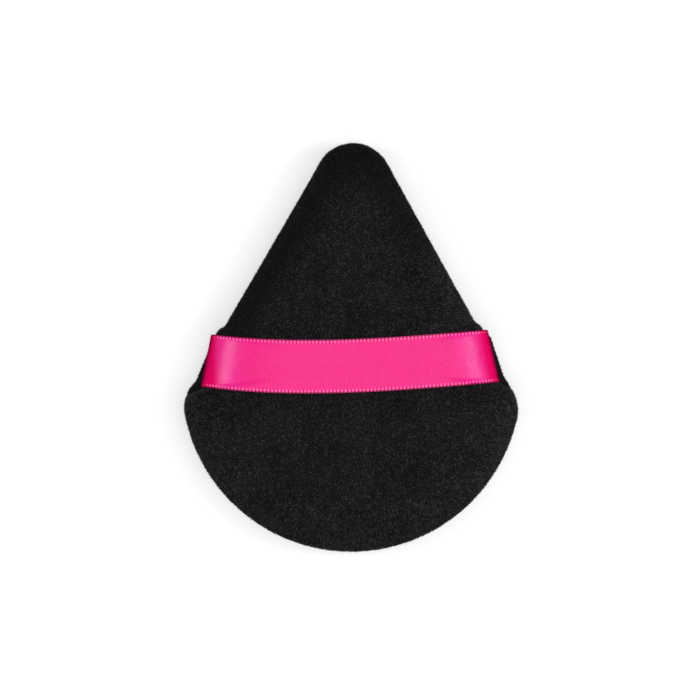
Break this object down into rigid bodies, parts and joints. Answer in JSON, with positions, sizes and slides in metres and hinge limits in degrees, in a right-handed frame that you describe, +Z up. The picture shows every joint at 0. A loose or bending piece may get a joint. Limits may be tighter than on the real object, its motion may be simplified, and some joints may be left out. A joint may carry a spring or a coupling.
{
  "type": "powder puff",
  "caption": "Drop-shaped padded velour puff with a satin ribbon finger strap across its face, for pressing loose powder onto skin.",
  "frame": {"origin": "centre of the pad's bounding box seen from above, on the plane it lies on", "axes": "+Z up through the pad's thickness towards the face with the strap, +Y towards the narrow tip, +X along the strap to the right"},
  "size_m": [0.075, 0.092, 0.0149],
  "materials": {
    "velour": "short dense pile, matt black",
    "foam": "open-cell foam, matt",
    "satin": "satin weave, glossy",
    "thread": "spun polyester, dull"
  },
  "bodies": {
    "pad": {"front_cover": "velour", "back_cover": "velour", "sponge_core": "foam", "needle_thread": "thread", "bobbin_thread": "thread", "closing_thread": "thread", "left_basting_thread": "thread", "right_basting_thread": "thread"},
    "strap": {"ribbon_strap": "satin"}
  },
  "joints": [
    {"name": "strap_lift", "type": "slide", "parent": "pad", "child": "strap", "axis": [0, 0, 1], "range_m": [0, 0.01], "stiffness_N_per_m": 12, "deforming": ["ribbon_strap"]}
  ]
}
